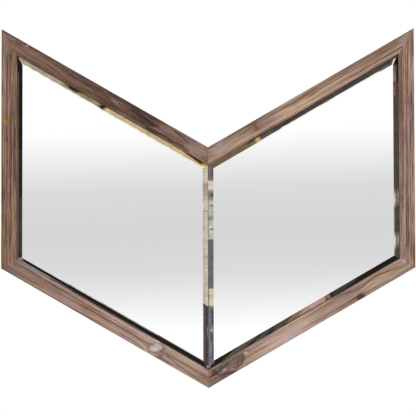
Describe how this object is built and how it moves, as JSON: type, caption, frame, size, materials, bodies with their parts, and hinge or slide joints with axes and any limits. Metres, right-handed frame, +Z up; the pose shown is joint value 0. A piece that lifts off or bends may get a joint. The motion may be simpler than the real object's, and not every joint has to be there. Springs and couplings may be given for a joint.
{
  "type": "chevron wall mirror",
  "caption": "Chevron wall mirror: bevelled rhombus panes meet at the middle of a mitred wood frame, with swinging D-ring hangers behind.",
  "frame": {"origin": "on the back plane of the frame and backing board, at the middle of the overall width and height", "axes": "+X to the right as seen from the front, +Z up, +Y out of the back towards the wall, so the mirror faces -Y"},
  "size_m": [1.016, 0.031, 0.8832],
  "materials": {
    "left_stile_wood": "weathered grey-brown, matt",
    "right_stile_wood": "weathered grey-brown, matt",
    "top_left_wood": "weathered dark brown, matt",
    "top_right_wood": "weathered tan, matt",
    "bottom_left_wood": "weathered tan, matt",
    "bottom_right_wood": "weathered tan, matt",
    "mirror_glass": "polished, silvered behind",
    "foam_tape": "matt foam",
    "board": "raw fibreboard",
    "screw_steel": "yellow zinc",
    "wedge_steel": "bare spring steel",
    "hanger_steel": "bright nickel",
    "bumper_rubber": "matt"
  },
  "bodies": {
    "mirror": {"left_stile": "left_stile_wood", "right_stile": "right_stile_wood", "top_left_rail": "top_left_wood", "top_right_rail": "top_right_wood", "bottom_left_rail": "bottom_left_wood", "bottom_right_rail": "bottom_right_wood", "left_mirror_pane": "mirror_glass", "right_mirror_pane": "mirror_glass", "left_tape_strips": "foam_tape", "right_tape_strips": "foam_tape", "backing_board": "board", "backing_screws": "screw_steel", "corner_wedges": "wedge_steel", "left_hanger_strap": "hanger_steel", "right_hanger_strap": "hanger_steel", "left_hanger_screws": "hanger_steel", "right_hanger_screws": "hanger_steel", "wall_bumpers": "bumper_rubber"},
    "left_ring": {"left_hanger_ring": "hanger_steel"},
    "right_ring": {"right_hanger_ring": "hanger_steel"}
  },
  "joints": [
    {"name": "left_ring_swing", "type": "hinge", "parent": "mirror", "child": "left_ring", "pos_m": [-0.495, 0.0028, 0.24], "axis": [1, 0, 0], "range_deg": [0, 180]},
    {"name": "right_ring_swing", "type": "hinge", "parent": "mirror", "child": "right_ring", "pos_m": [0.495, 0.0028, 0.24], "axis": [1, 0, 0], "range_deg": [0, 180]}
  ]
}
